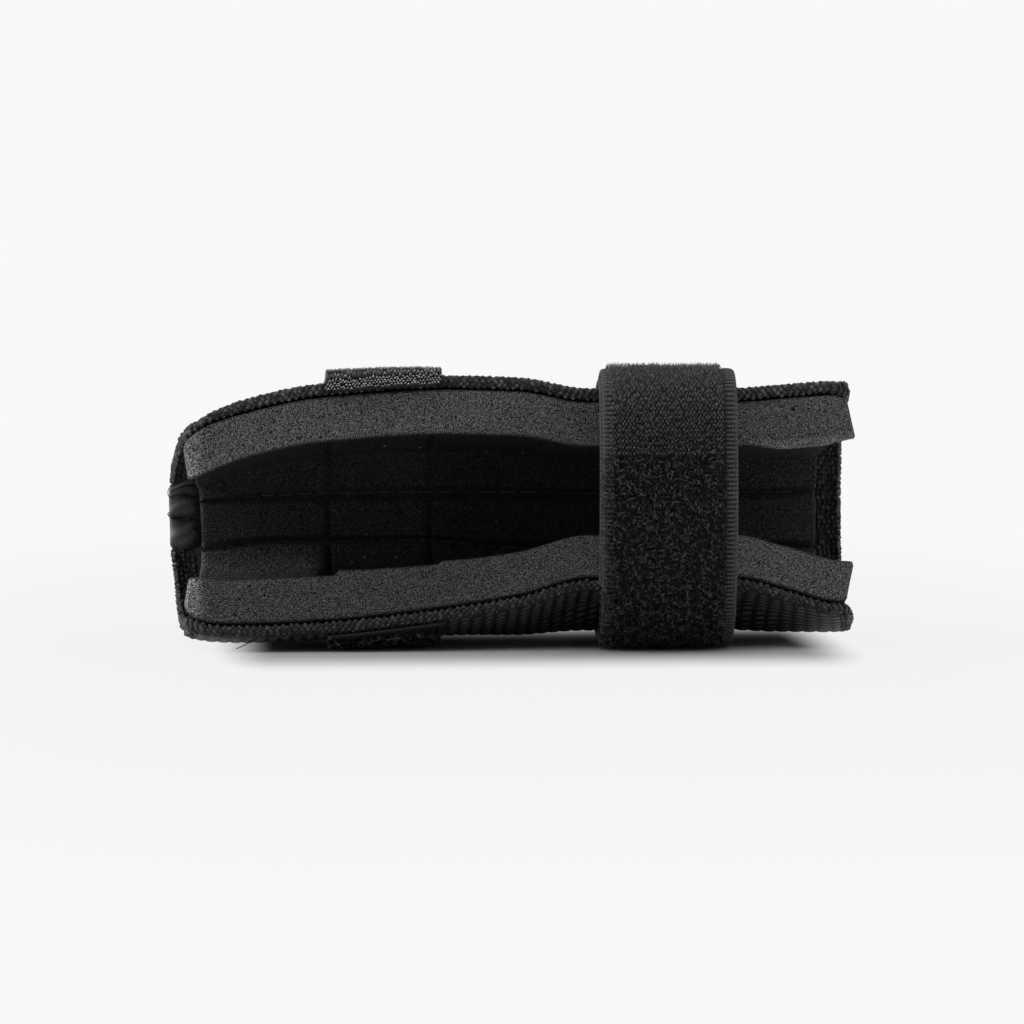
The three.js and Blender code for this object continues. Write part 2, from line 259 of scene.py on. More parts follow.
# Tabs
TAB_X = -18.6
TAB_WIDTH = 16.0
TAB_BASE = 0.6
TAB_TAPE = (TAB_WIDTH, TAB_BASE, 0.3, 0.05)  # width, thickness, selvedge, height of its ribs
TAB_STEPS = 180
HOOK_TAB_SPANS = (0.0, 4.46)
LOOP_TAB_SPANS = (4.54, 9.97)
RIM_WRAP = 1.5
HOOK_TAB_PILE = 0.3
HOOK_TAB_LIFT = 0.75  # how far its upper end stands higher at the left edge
HOOK_TAB_LIFT_LENGTH = 9.0
TAB_ROW = 0.36
TAB_COLUMN = 0.46
TAB_DISORDER = (0.05, 0.05)
TAB_MARGIN = 0.25
TAB_FOOT = 0.3  # plain length at its lower end
TAB_ROOT = 0.05  # how deep its hooks are rooted
TAB_HOOK = (0.42, 0.26, 0.06, 0.068)  # width, lean, its spread, radius
TAB_HOOK_HEIGHTS = (0.55, 1.4)
LOOP_TAB_PILE = 0.8
LOOP_TAB_MARGIN = 0.6
LOOP_TAB_GROUND = 0.4  # how far its ground stays from its edges
LOOP_TAB_FEET = (0.4, 1.1)  # plain lengths at its ends
LOOP_TAB_ROOT = 0.1
LOOP_TAB_LOOPS = 1900
LOOP_TAB_REACH = (0.8, 1.8)
LOOP_TAB_RADIUS = 0.06

# Closing strap
STRAP_X = 20.3
STRAP_WIDTH = 18.7
STRAP_SELVEDGE = 1.7
STRAP_EDGE = 0.75  # plain outer part of a selvedge
STRAP_BASE = 0.7
STRAP_TAPE = (STRAP_WIDTH, STRAP_BASE, STRAP_SELVEDGE, 0.2)
STRAP_PILE = 1.2
STRAP_ROOT = 0.25  # how deep its pile is rooted
STRAP_FOOT = 0.4  # plain length at its end
STRAP_SLACK = 0.2
STRAP_LAP = 1.3
STRAP_DRIFT = 0.35
STRAP_SKEW = 0.055
STRAP_FRONT = ((-4.4, 6.4), (-7.3, 12.8), (-8.2, 20.0), (-7.2, 28.0), (-4.3, 34.7))
STRAP_HUGGED_SPANS = (0.1, 1, 2, 3, 4, 5, 6, 6.9)
STRAP_FLOOR = ((13.0, 1.3), (6.5, 1.3), (0.4, 2.2))
STRAP_TURNS = (0.03, 1.46)
STRAP_LIFT = (0.9, 1.02)
STRAP_RIB = 0.58  # pitch of the ribs on its selvedges
STRAP_ROW = 0.38  # pitch of its rows of hooks
STRAP_COLUMN = 0.52
STRAP_DISORDER = (0.05, 0.11)
STRAP_HOOK = (0.5, 0.45, 0.1, 0.046)  # width, lean, its spread, radius
STRAP_HOOK_HEIGHTS = (0.7, 1.1)
SECOND_ROW_SHADE = 0.6
SECOND_ROW_LENGTH = 8.0
STRAP_LOOP_REACH = (0.5, 1.5)
STRAP_LOOP_RADIUS = 0.038
PILE_BELOW = 8.0  # how far the front pile reaches down past the join
BACK_SHARE = 0.72  # of a turn, where the pile of the back ends
HOOKED_SIDES = (0.5, -0.5)  # how far the hooks reach over the left and right selvedge
HOOKED_FROM_Z = 27.0  # the strap's front has hooks above this height and loops below it

# Camera
EYE_TARGET = np.array([-1.0, 0.0, 19.16])
EYE_AZIMUTH = math.radians(-4.0)
EYE_ELEVATION = math.radians(3.5)
EYE_DISTANCE = 600.0
LENS_MM = 153.04
SENSOR_MM = 36.0
NEAREST = 0.01

# Light, in metres and watts
WORLD_GLOW = 0.12
WORLD_COLOUR = (0.97, 0.985, 1.0, 1.0)
FLOOR_SIZE = 8.0
SWEEP_START = 2.2
SWEEP_RADIUS = 0.8
FLOOR_ROWS = (-FLOOR_SIZE, -1.0, 0.5, SWEEP_START)
BACKDROP_TOP = 3.0
FLOOR_WHITE = 0.36
FLOOR_MOTTLE = 0.005
FLOOR_GLOW = 0.945
FOOTPRINT = (0.036, 0.016, 1.0)  # half sizes of the floor patch where the glow is held back, a painted contact shadow
FOOTPRINT_CENTRE = (0.002, 0.0, 0.0)
FOOTPRINT_STRETCH = (2.8, 1.0, 1.0)  # the glow rises faster to the sides than to the front
GLOW_STEPS = ((0.0, 0.026, 0.9), (0.04, 0.3, 0.1))  # where the glow begins, where it is full, its share
LIGHT_TARGET = (0.0, 0.0, 0.02)
LIGHTS = (  # name, place, size, power
    ("overhead", (0.0, -0.05, 2.0), (4.0, 4.0), 55.0),
    ("left", (-1.6, -0.1, 0.62), (1.24, 1.24), 29.0),
    ("right", (1.6, -0.1, 0.62), (1.24, 1.24), 15.0),
)


def smooth(t):
    """From 0 to 1 with no kink at either end."""
    t = np.clip(t, 0.0, 1.0)
    return t * t * (3 - 2 * t)


def band(at, first, rise, last, fall):
    """1 between first and last, with a smooth rise and fall inside them."""
    return smooth((at - first) / rise) * smooth((last - at) / fall)


def mix(a, b, t):
    return a + (b - a) * t


def cubic_through(p1, p2, v1, v2, t):
    """Points between p1 and p2, left and reached at the speeds v1 and v2, and their tangents."""
    cubic = 2 * p1 - 2 * p2 + v1 + v2
    square = -3 * p1 + 3 * p2 - 2 * v1 - v2
    return ((cubic * t + square) * t + v1) * t + p1, (3 * cubic * t + 2 * square) * t + v1


def sections(x):
    """Each column of the sections at x: smooth curves that never overshoot their rows."""
    rows, values = SECTIONS[:, 0], SECTIONS[:, 1:]
    width = np.diff(rows)[:, None]
    slope = np.diff(values, axis=0) / width
    before, after = slope[:-1], slope[1:]
    same = before * after > 0
    total = np.where(same, before + after, 1.0)
    tangent = np.concatenate([slope[:1], np.where(same, 2 * before * after / total, 0.0), slope[-1:]])
    at = np.clip(x, rows[0], rows[-1])
    i = np.clip(np.searchsorted(rows, at) - 1, 0, len(rows) - 2)
    t = ((at - rows[i]) / width[i, 0])[..., None]
    curve = cubic_through(values[i], values[i + 1], width[i] * tangent[i], width[i] * tangent[i + 1], t)[0]
    return np.moveaxis(curve, -1, 0)


def outline(x):
    """Control points of the wall's outer face at each x, as Y and Z."""
    lip_y, lip_z, base_z, low_mid_z, low_lip_y, low_lip_z = sections(x)
    upper_z, lower_z = SPINE_Z + SLEEVE_HALF, SPINE_Z - SLEEVE_HALF
    rear_z = lip_z - UPPER_REAR_DROP
    points = [
        (lip_y, lip_z),
        (UPPER_MID_Y, lip_z - UPPER_MID_DROP),
        (UPPER_REAR_Y, rear_z),
        (mix(UPPER_REAR_Y, SPINE_Y, CORNER), mix(upper_z, rear_z, CORNER)),
        (SPINE_Y, upper_z),
        (SPINE_Y, lower_z),
        (mix(BASE_REAR_Y, SPINE_Y, CORNER), mix(lower_z, base_z, CORNER)),
        (BASE_REAR_Y, base_z),
        (BASE_FRONT_Y, base_z),
        (LOWER_MID_Y, low_mid_z),
        (low_lip_y, low_lip_z),
    ]
    columns = [np.stack(np.broadcast_arrays(y, z, x)[:2], axis=-1) for y, z in points]
    return np.stack(columns, axis=-2)


def wall_point(x, span, depth, out=0.0):
    """Points `depth` inside the wall's outer face, moved `out` past the nearer lip."""
    x, span, depth, out = np.broadcast_arrays(*(np.asarray(a, float) for a in (x, span, depth, out)))
    controls = outline(x)
    k = np.clip(np.floor(span).astype(int), 0, SPANS - 1)

    def control(index):
        picked = np.clip(index, 0, SPANS)[..., None, None]
        return np.take_along_axis(controls, picked, axis=-2)[..., 0, :]

    p0, p1, p2, p3 = (control(k + step) for step in (-1, 0, 1, 2))
    point, tangent = cubic_through(p1, p2, (p2 - p0) / 2, (p3 - p1) / 2, (span - k)[..., None])
    tangent /= np.linalg.norm(tangent, axis=-1, keepdims=True)
    away = np.where(span < SPANS / 2, -out, out)
    y = point[..., 0] + tangent[..., 1] * depth + tangent[..., 0] * away
    z = point[..., 1] - tangent[..., 0] * depth + tangent[..., 1] * away
    return np.stack([x, y, z], axis=-1)


def drawn_out(x, span, ends):
    """x drawn out towards the nearer end, which reaches further at some spans than others."""
    back, power, skew = (np.where(x < 0, a, b) for a, b in zip(ends["left"], ends["right"]))
    from_back = np.abs(2 * span / SPANS - 1) ** power
    past = np.maximum(0, np.abs(x) - STRAIGHT_HALF) / (LIP_HALF - STRAIGHT_HALF)
    skewed = band(span, *SKEW_UPPER) - band(span, *SKEW_LOWER) / 2
    reach = mix(back, LIP_HALF, from_back) + skew * skewed
    return x + np.sign(x) * past * (reach - LIP_HALF)


def lip_distance(span):
    return np.minimum(span, SPANS - span)


def curl(x, span):
    """How far the wall is curled in, near the four lip corners and along both ends."""
    past = np.clip((np.abs(x) - LIP_HALF + CURL_LENGTH) / CURL_LENGTH, 0, 1)
    depth = np.where(x < 0, CURL_DEPTH["left"], CURL_DEPTH["right"])
    rolled = np.clip((np.abs(x) - LIP_HALF + ROLL_LENGTH) / ROLL_LENGTH, 0, 1)
    roll = ROLL * rolled**2 * smooth(lip_distance(span) - ROLL_FROM)
    return roll + depth * past**2 * np.maximum(0, 1 - lip_distance(span) / CURL_SPANS)


def seam_line(at, x):
    """The span of a seam along the splint. The lower one arches up left of the middle."""
    rise = SEAM_RISE if at > SPANS / 2 else 0.0
    return at - rise * band(x, *SEAM_ARCH)


def seam(x, span):
    """How deep the sewn grooves press into the lining."""
    along = [
        SEAM_DEPTH * smooth(1 - np.abs(span - seam_line(at, x)) / SEAM_WIDTH)
        for at in SEAM_SPANS
    ]
    inside = smooth(lip_distance(span) / CROSS_SEAM_FADE) * CROSS_SEAM_DEPTH
    across = [inside * smooth(1 - np.abs(x - at) / CROSS_SEAM_WIDTH) for at in CROSS_SEAMS_X]
    return np.maximum.reduce(np.broadcast_arrays(*along, *across))


def squeeze(span):
    near = np.maximum.reduce([np.maximum(0, 1 - np.abs(span - at) / BEND_SPAN) for at in BENDS])
    return BEND_SQUEEZE * smooth(near)


def left_of_seam(x):
    """1 left of the first cross seam."""
    return smooth((CROSS_SEAMS_X[0] - x) / SEAM_SIDE)


def puff(x, span):
    """How far the lower leg's foam swells, right of each cross seam and left of the first one."""
    swell = sum(
        height * smooth((x - at) / PUFF_RISE) * np.exp(-np.maximum(0, x - at) / length)
        for at, (height, length) in zip(CROSS_SEAMS_X, PUFFS)
    )
    first, rise = PUFF_SPANS
    middle, half = SWELL_SPANS
    bend = smooth(1 - np.abs(span - middle) / half) * left_of_seam(x)
    return swell * smooth((span - first) / rise) + FLOOR_SWELL * bend


GIRTH_SPANS = np.linspace(0, SPANS, 2001)
GIRTH_STEPS = np.diff(wall_point(0.0, GIRTH_SPANS, 0.0), axis=0)
GIRTH = np.concatenate([[0], np.cumsum(np.linalg.norm(GIRTH_STEPS, axis=1))])


def girth_at(span):
    return np.interp(span, GIRTH_SPANS, GIRTH)


def span_at(girth):
    return np.interp(girth, GIRTH, GIRTH_SPANS)


def thinned(x, span):
    """How much thinner the webbing is towards its upper left corner."""
    near = smooth((THIN_LENGTH - LIP_HALF - x) / THIN_LENGTH)
    return THIN_CORNER * near * smooth(1 - span / CURL_SPANS)


def corner_back(x):
    """How far a lip of the webbing draws back near its rounded corners."""
    past = np.clip(np.abs(x) - LIP_HALF + CORNER_ROUND, 0, CORNER_ROUND)
    return CORNER_ROUND - np.sqrt(CORNER_ROUND**2 - past**2)


# Meshes


def make_piece(name, points, faces, material, slot_name, node=None, uv=None, tone=None, outward=False):
    """A mesh object from points in millimetres and arrays of faces, riding on the splint."""
    mesh = bpy.data.meshes.new(name)
    corners = np.concatenate([f.reshape(-1) for f in faces])
    sizes = np.concatenate([np.full(len(f), f.shape[1]) for f in faces])
    mesh.vertices.add(len(points))
    mesh.vertices.foreach_set("co", ((points - ORIGIN) * MM).astype(np.float32).reshape(-1))
    mesh.loops.add(len(corners))
    mesh.loops.foreach_set("vertex_index", corners.astype(np.int32))
    mesh.polygons.add(len(sizes))
    mesh.polygons.foreach_set("loop_start", np.concatenate([[0], np.cumsum(sizes)[:-1]]).astype(np.int32))
    mesh.polygons.foreach_set("use_smooth", np.ones(len(sizes), bool))
    mesh.update(calc_edges=True)
    if uv is not None:
        layer = mesh.uv_layers.new(name="weave")
        layer.uv.foreach_set("vector", uv[corners].astype(np.float32).reshape(-1))
    if tone is not None:
        values = tone.astype(np.float32).reshape(-1)
        mesh.attributes.new("tone", "FLOAT", "POINT").data.foreach_set("value", values)
    if outward:
        made = bmesh.new()
        made.from_mesh(mesh)
        bmesh.ops.recalc_face_normals(made, faces=made.faces)
        made.to_mesh(mesh)
        made.free()
    mesh.materials.append(material)
    piece = bpy.data.objects.new(name, mesh)
    bpy.context.scene.collection.objects.link(piece)
    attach(piece, "root")
    if node:
        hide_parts(node)
    return piece


def grid_faces(rows, columns, around=False):
    """Quads of a grid of points, joined round its columns where asked."""
    r = np.arange(rows - 1)[:, None]
    c = np.arange(columns if around else columns - 1)[None, :]
    after = (c + 1) % columns
    a, b = r * columns + c, r * columns + after
    return np.stack([a, b, b + columns, a + columns], axis=-1).reshape(-1, 4)


def skin(rings, ratio=1):
    """Points and faces of a closed skin. Each ring runs along one face and back along the other,
    with `ratio` steps on the first face for each step on the second.
    """
    count, size = rings.shape[:2]
    k = np.arange((size - 2) // (ratio + 1))
    first = [ratio * k + step for step in range(ratio + 1)]
    cap = np.stack([*first, size - 2 - k, size - 1 - k], axis=-1)
    last = cap[:, ::-1] + (count - 1) * size
    return rings.reshape(-1, 3), [grid_faces(count, size, around=True), cap, last]


def tube_piece(name, paths, radius, tone, material, slot_name, sides=THREAD_SIDES, up=TUBE_UP):
    """Closed tubes along paths, an array of curves by points by 3, with a tone for each point."""
    count, length = paths.shape[:2]
    along = np.gradient(paths, axis=1)
    along /= np.linalg.norm(along, axis=-1, keepdims=True) + 1e-9
    side = np.cross(along, up)
    side /= np.linalg.norm(side, axis=-1, keepdims=True) + 1e-9
    over = np.cross(side, along)
    turn = 2 * math.pi * np.arange(sides) / sides
    radius = np.broadcast_to(np.asarray(radius, float), (count, length))[..., None, None]
    ring = side[..., None, :] * np.cos(turn)[:, None] + over[..., None, :] * np.sin(turn)[:, None]
    points = (paths[..., None, :] + radius * ring).reshape(-1, 3)
    points[:, 2] = np.maximum(points[:, 2], 0.0)
    start = np.arange(count)[:, None] * length * sides
    walls = (start[..., None] + grid_faces(length, sides, around=True)[None]).reshape(-1, 4)
    first = start + np.arange(sides)[None, ::-1]
    last = start + (length - 1) * sides + np.arange(sides)[None, :]
    tone = np.repeat(np.broadcast_to(tone, (count, length)).reshape(-1), sides)
    return make_piece(name, points, [walls, first, last], material, slot_name, tone=tone)


def join(bodies):
    """Points and faces of several bodies as one."""
    start, points, faces = 0, [], []
    for body_points, body_faces in bodies:
        faces += [f + start for f in body_faces]
        points.append(body_points)
        start += len(body_points)
    return np.concatenate(points), faces


# Materials


def add(tree, kind, inputs=None, **settings):
    node = tree.nodes.new("ShaderNode" + kind)
    for key, value in settings.items():
        setattr(node, key, value)
    for key, value in (inputs or {}).items():
        if isinstance(value, bpy.types.NodeSocket):
            tree.links.new(value, node.inputs[key])
        else:
            node.inputs[key].default_value = value
    return node


def maths(tree, operation, *values):
    return add(tree, "Math", dict(enumerate(values)), operation=operation).outputs[0]


def ramp(tree, factor, *stops):
    """Greys along a factor: stops of place and grey."""
    node = add(tree, "ValToRGB", {"Fac": factor})
    elements = node.color_ramp.elements
    while len(elements) < len(stops):
        elements.new(0.5)
    for element, (place, grey) in zip(elements, stops):
        element.position = place
        element.color = (grey, grey, grey, 1.0)
    return node.outputs["Color"]


def start_material(name, roughness, specular):
    material = bpy.data.materials.new(name)
    material.use_nodes = True
    tree = material.node_tree
    shader = tree.nodes["Principled BSDF"]
    shader.inputs["Roughness"].default_value = roughness
    shader.inputs["Specular IOR Level"].default_value = specular
    return material, tree, shader


def vector(tree, operation, *values):
    return add(tree, "VectorMath", dict(enumerate(values)), operation=operation).outputs[0]


def scaled(tree, value, factor):
    return add(tree, "VectorMath", {0: value, "Scale": factor}, operation="SCALE").outputs[0]


def ranged(tree, value, start, stop, low=0.0, high=1.0, kind="LINEAR"):
    """A value moved from one range to another and kept within it."""
    settings = {"Value": value, "From Min": start, "From Max": stop, "To Min": low, "To Max": high}
    return add(tree, "MapRange", settings, interpolation_type=kind).outputs["Result"]


def noise(tree, place, scale, detail, roughness=0.5):
    settings = {"Vector": place, "Scale": scale, "Detail": detail, "Roughness": roughness}
    return add(tree, "TexNoise", settings).outputs["Fac"]


def cells(tree, place, scale):
    """Distance from the middle of the nearest cell."""
    return add(tree, "TexVoronoi", {"Vector": place, "Scale": scale}).outputs["Distance"]


def millimetres(tree):
    """Places on the piece in millimetres."""
    return scaled(tree, add(tree, "TexCoord").outputs["Object"], 1 / MM)


def finish_material(tree, shader, colour, height, distance):
    """Sets the colour, and a relief of `distance` millimetres."""
    node = add(tree, "Bump", {"Height": height, "Distance": distance * MM, "Strength": 1.0})
    tree.links.new(node.outputs["Normal"], shader.inputs["Normal"])
    tree.links.new(colour, shader.inputs["Base Color"])


def tone_of(tree):
    return add(tree, "Attribute", attribute_name="tone").outputs["Fac"]


def foam_material():
    """Fine open cells, rough and pale where cut, and darker on the faces as a painted shade for the hollow.
    """
    material, tree, shader = start_material("open_cell_foam", 0.9, specular=0.12)
    place = millimetres(tree)
    grain = noise(tree, place, 7.2, 1.0, 0.6)
    relief = maths(tree, "MULTIPLY_ADD", cells(tree, place, 7.5), 0.3, grain)
    open_pore = ranged(tree, cells(tree, place, 0.42), 0.035, 0.08)
    cut = maths(tree, "MULTIPLY", relief, open_pore)
    colour = ramp(tree, cut, (0.51, 0.0009), (0.64, 0.036), (0.75, 0.195))
    # the faces' lower grey is painted shade
    part = maths(tree, "MULTIPLY_ADD", tone_of(tree), 1 - FACE_PAINTED_SHADE_SHARE, FACE_PAINTED_SHADE_SHARE)
    finish_material(tree, shader, scaled(tree, colour, part), cut, 0.3)
    return material


def webbing_material():
    """Dull black yarn, darker down between the floats as painted shade."""
    material, tree, shader = start_material("ribbed_webbing", 0.6, specular=0.35)
    fuzz = noise(tree, millimetres(tree), 3.4, 3.0, 0.7)
    lit = maths(tree, "MULTIPLY_ADD", fuzz, 0.75, tone_of(tree))
    colour = ramp(tree, lit, (0.36, 0.0018), (0.78, 0.017), (1.12, 0.082))
    finish_material(tree, shader, colour, fuzz, 0.2)
    return material


def yarn_material(name, dark, light, roughness, specular):
    """Bare yarn: each strand has its own tone, and fine noise along it."""
    material, tree, shader = start_material(name, roughness, specular)
    place = millimetres(tree)
    tone = maths(tree, "MULTIPLY", tone_of(tree), 0.7)
    factor = maths(tree, "MULTIPLY_ADD", noise(tree, place, 3.0, 2.0), 0.3, tone)
    colour = ramp(tree, factor, (0.1, dark), (0.85, light))
    finish_material(tree, shader, colour, noise(tree, place, 14.0, 1.0), 0.03)
    return material


def tape_material(name, dark, light, ground_half, ribbed_half):
    """Woven tape in fine rows. Its ground, under the pile, is darker than its selvedges.

    Past `ribbed_half` from the middle the rows fade to a plain edge.
    """
    material, tree, shader = start_material(name, 0.7, specular=0.3)
    parts = add(tree, "SeparateXYZ", {"Vector": add(tree, "UVMap", uv_map="weave").outputs["UV"]})
    rows = maths(tree, "COSINE", maths(tree, "MULTIPLY", parts.outputs["Y"], 2 * math.pi / STRAP_RIB))
    columns = maths(tree, "SINE", maths(tree, "MULTIPLY", parts.outputs["X"], 2 * math.pi / TAPE_COLUMN))
    across = maths(tree, "ABSOLUTE", parts.outputs["X"])

    def changing(half, low, high):
        return ranged(tree, across, half + TAPE_FADE[0], half + TAPE_FADE[1], low, high)

    weave = maths(tree, "MULTIPLY_ADD", columns, TAPE_RELIEF[0], rows)
    grid = maths(tree, "MULTIPLY", changing(ribbed_half, 1.0, PLAIN_SHARE), weave)
    fuzz = noise(tree, millimetres(tree), 4.0, 3.0)
    relief = maths(tree, "MULTIPLY_ADD", grid, TAPE_RELIEF[1], fuzz)
    colour = ramp(tree, relief, (0.2, dark), (0.9, light))
    shaded = scaled(tree, colour, changing(ground_half, GROUND_SHADE, 1.0))
    finish_material(tree, shader, shaded, relief, 0.1)
    return material


FOAM_LOOK = foam_material()
WEBBING_LOOK = webbing_material()
RIM_LOOK = yarn_material("rim_yarn", 0.002, 0.085, 0.6, 0.3)
POCKET_LOOK = yarn_material("pocket_satin", 0.001, 0.21, 0.6, 0.2)
HOOK_TAB_LOOK = yarn_material("hook_monofilament", 0.006, 0.95, 0.4, 0.5)
STRAP_HOOK_LOOK = yarn_material("strap_monofilament", 0.0008, 0.44, 0.5, 0.2)
PILE_LOOK = yarn_material("strap_pile", 0.0006, 0.2, 0.6, 0.2)
LOOP_TAB_LOOK = yarn_material("tab_pile", 0.008, 0.24, 0.7, 0.2)
THREAD_LOOK = yarn_material("sewing_thread", 0.003, 0.03, 0.5, 0.4)
LINT_LOOK = yarn_material("lint", 0.1, 0.45, 0.8, 0.2)
STRAP_TAPE_LOOK = tape_material("strap_ground", 0.001, 0.065, STRAP_WIDTH / 2 - STRAP_SELVEDGE,
                                STRAP_WIDTH / 2 - STRAP_EDGE)
HOOK_TAPE_LOOK = tape_material("hook_tab_ground", 0.003, 0.05, TAB_WIDTH / 2, TAB_WIDTH)
LOOP_TAPE_LOOK = tape_material("loop_tab_ground", 0.004, 0.05, TAB_WIDTH / 2 - LOOP_TAB_GROUND, TAB_WIDTH)


# Walls


def section_stations(face_spans, radius, lip_steps, corner_steps):
    """Half of a wall's section, from the middle of the upper lip to the middle of the lower one.

    Columns: span, share of the half thickness left by the corner, share of the corner, set-back.
    """
    shares = (np.arange(lip_steps) + 0.5) / lip_steps
    angles = np.linspace(0, math.pi / 2, corner_steps)
    lip = [(0.0, share, 0.0, 0.0) for share in shares]
    corner = [(0.0, 1.0, math.sin(a), radius * (1 - math.cos(a))) for a in angles]
    upper = np.array(lip + corner)
    lower = upper[::-1].copy()
    lower[:, 0] = SPANS
    face = np.array([(span, 1.0, 1.0, 0.0) for span in face_spans])
    return np.concatenate([upper, face, lower])


def rounded_lines(lines, left, right, steps):
    """Places along the splint and their insets, which round both ends to the radii given."""
    angles = np.linspace(0, math.pi / 2, steps + 1)[1:]
    inset = 1 - np.cos(angles)
    straight = lines[(lines > left - LIP_HALF) & (lines < LIP_HALF - right)]
    x = np.concatenate([
        left * (1 - np.sin(angles[::-1])) - LIP_HALF, straight, LIP_HALF - right * (1 - np.sin(angles)),
    ])
    return x[:, None], np.concatenate([left * inset[::-1], 0 * straight, right * inset])[:, None]


def ring_of(outer, inner):
    """Columns of a whole ring, out along the outer face and back along the inner one."""
    span, share, corner, back = np.concatenate([outer, inner[::-1]]).T[:, None, :]
    side = np.repeat([-1.0, 1.0], [len(outer), len(inner)])[None, :]
    return span, share, corner, back, side


def build_webbing():
    """The webbing wall: ribs along its girth, each a stack of slanted floats."""
    girth = GIRTH[-1]

    def stations(count):
        face = np.linspace(FACE_MARGIN, girth - FACE_MARGIN, count)
        return section_stations(span_at(face), WALL_ROUND, 1, 5)

    span, share, corner, back, side = ring_of(stations(OUTER_STATIONS), stations(INNER_STATIONS))
    lines = np.arange(-RIBS_ASIDE, RIBS_ASIDE + 0.01, 1 / LINES_PER_RIB) * RIB
    x, inset = rounded_lines(lines, WALL_ROUND, WALL_ROUND, 4)
    column = np.floor(x / RIB + 0.001)
    across = x / RIB - column
    crown = np.sqrt(np.maximum(0, 1 - (2 * across - 1) ** 2))
    face = (side < 0) * (corner == 1) * (share == 1)
    step = (np.arange(span.size)[None, :] + 2 * column.astype(int)) % len(FLOAT_STEPS)
    raised = np.array(FLOAT_STEPS)[step]
    along = girth_at(span) + face * FLOAT_SLANT * (across - 0.5)
    drawn = mix(corner_back(x), girth - corner_back(x), along / girth)
    span = span_at(np.clip(drawn, 0, girth))
    relief = crown * (RIB_HEIGHT + FLOAT_HEIGHT * (raised - FLOAT_LEVEL) * face)
    half = WEBBING / 2
    reach = ((half - WALL_ROUND) * share + WALL_ROUND * corner) * (1 - inset / half)
    left_over = 1 - thinned(x, span) / WEBBING
    depth = curl(x, span) + left_over * half + side * (left_over * reach + relief - RIB_HEIGHT)
    rings = wall_point(drawn_out(x, span, WALL_ENDS), span, depth, -back - inset)
    # painted shade: low parts of the weave darker, raised floats lighter
    between, on_float, plain = WEAVE_TONES
    tone = between + crown * np.where(face > 0, on_float * raised, plain)
    return make_piece("webbing_cloth", *skin(rings, ratio=OUTER_PER_INNER), WEBBING_LOOK, "webbing",
                      node="webbing_wall", tone=tone, outward=True)


def foam_depths(x, span):
    """Depths of the lining's outer and inner face. It is thinner behind the upper lip."""
    outer = WEBBING + GAP + curl(x, span) - thinned(x, span)
    thick = FOAM - squeeze(span) - seam(x, span) - UNDERCUT * band(span, *UNDERCUT_SPANS)
    return outer, WEBBING + GAP + thick + puff(x, span) + pressed(x, span)


def pressed(x, span):
    """How far the pressed inner edge of the upper lip hangs down near the right end."""
    return PRESSED_DROP * band(x, *PRESSED_X) * smooth(1 - span / PRESSED_SPANS)


def bevel(x, span, side, share):
    """How far into that pressed edge a point of the lip lies."""
    first, rise = PRESSED_X[:2]
    across = smooth((side * share - BEVEL[0]) / BEVEL[1])
    return smooth((x - first) / rise) * across * (span == 0)


def foam_tone(x, span, side, share, corner, inset):
    """How pale the foam is: most where it was cut, along the lips and at their ends; painted light and
    painted shade are laid over that.
    """
    near_lip = smooth(CUT_SPANS - lip_distance(span))
    below = span > SPANS / 2
    # painted shade on the lower lip, growing to the left
    lower = 1 - LOWER_LIP_PAINTED_SHADE * below * smooth((LOWER_SHADE_X[0] - x) / LOWER_SHADE_X[1])
    # the pressed edge, where that painted light falls
    edge = bevel(x, span, side, share)
    # painted light on a strip at the left end of both lips
    near_end = smooth((LEFT_END_LIGHT_X[0] - LIP_HALF - x) / LEFT_END_LIGHT_X[1])
    painted_end_light = 1 + np.where(span < SPANS / 2, *LEFT_END_PAINTED_LIGHT) * near_end
    # painted light on the floor of the hollow
    painted_floor_light = HOLLOW_FLOOR_PAINTED_LIGHT * band(span, *FLOOR_SPANS) * left_of_seam(x)
    # painted shade in the middle of the hollow
    deep = DEEP_PAINTED_SHADE * band(x, *DEEP_X) * band(span, *DEEP_SPANS)
    lip = np.maximum(lower * (1 - corner), PRESSED_EDGE_PAINTED_LIGHT * edge) * (painted_end_light + PRESSED_EDGE_LIGHT_GAIN * edge)
    end = END_TONE * np.minimum(1, inset / END_INSET) * near_lip
    inside = side > 0
    return np.maximum.reduce([lip, end, inside * painted_floor_light]) - inside * deep


